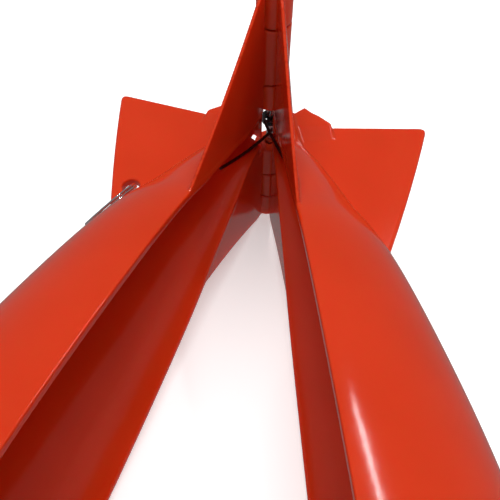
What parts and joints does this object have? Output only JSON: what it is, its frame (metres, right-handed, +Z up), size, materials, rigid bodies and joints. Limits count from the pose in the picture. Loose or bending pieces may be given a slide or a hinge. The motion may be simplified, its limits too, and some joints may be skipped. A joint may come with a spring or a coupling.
{
  "type": "bait rocket",
  "caption": "Torpedo-shaped fishing bait rocket in two sprung half shells, hinged at the finned tail and latched by a push button in the nose.",
  "frame": {"origin": "centre of the hinge barrel's lower end face, level with the surface that the tail rests on", "axes": "+Z up along the hinge pin, -Y from the tail towards the nose along the middle plane between the two open halves, +X towards the half that carries the nose button"},
  "size_m": [0.112, 0.1592, 0.0664],
  "materials": {
    "shell_plastic": "glossy injection-moulded plastic",
    "trigger_plastic": "fine-grained black plastic",
    "button_rubber": "soft black rubber",
    "bright_steel": "bright stainless steel",
    "spring_steel": "dark oiled spring steel",
    "ring_chrome": "bright plated wire"
  },
  "bodies": {
    "left_half": {"left_shell": "shell_plastic", "hinge_pin": "bright_steel", "opening_spring": "spring_steel", "catch_clip": "bright_steel", "catch_screw_upper": "bright_steel", "catch_screw_lower": "bright_steel"},
    "right_half": {"right_shell": "shell_plastic", "trigger_housing": "trigger_plastic", "housing_screw_upper": "bright_steel", "housing_screw_lower": "bright_steel", "button_spring": "spring_steel"},
    "button": {"plunger": "bright_steel", "nose_button": "button_rubber", "retaining_clip": "spring_steel"},
    "line_ring": {"split_ring": "ring_chrome"}
  },
  "joints": [
    {"name": "shell_hinge", "type": "hinge", "parent": "left_half", "child": "right_half", "pos_m": [0, 0, 0.0332], "axis": [0, 0, 1], "range_deg": [-27.24, 0], "stiffness_Nm_per_rad": 0.05, "springref_deg": 34.38, "deforming": ["opening_spring", "catch_clip"]},
    {"name": "button_press", "type": "slide", "parent": "right_half", "child": "button", "axis": [-0.2355, 0.9719, 0], "range_m": [0, 0.004], "stiffness_N_per_m": 300, "springref_m": -0.002, "deforming": ["button_spring"]},
    {"name": "ring_swing", "type": "hinge", "parent": "left_half", "child": "line_ring", "pos_m": [-0.02492, -0.02473, 0.0332], "axis": [-0.5679, 0.0796, -0.8193], "range_deg": [0, 60]}
  ]
}
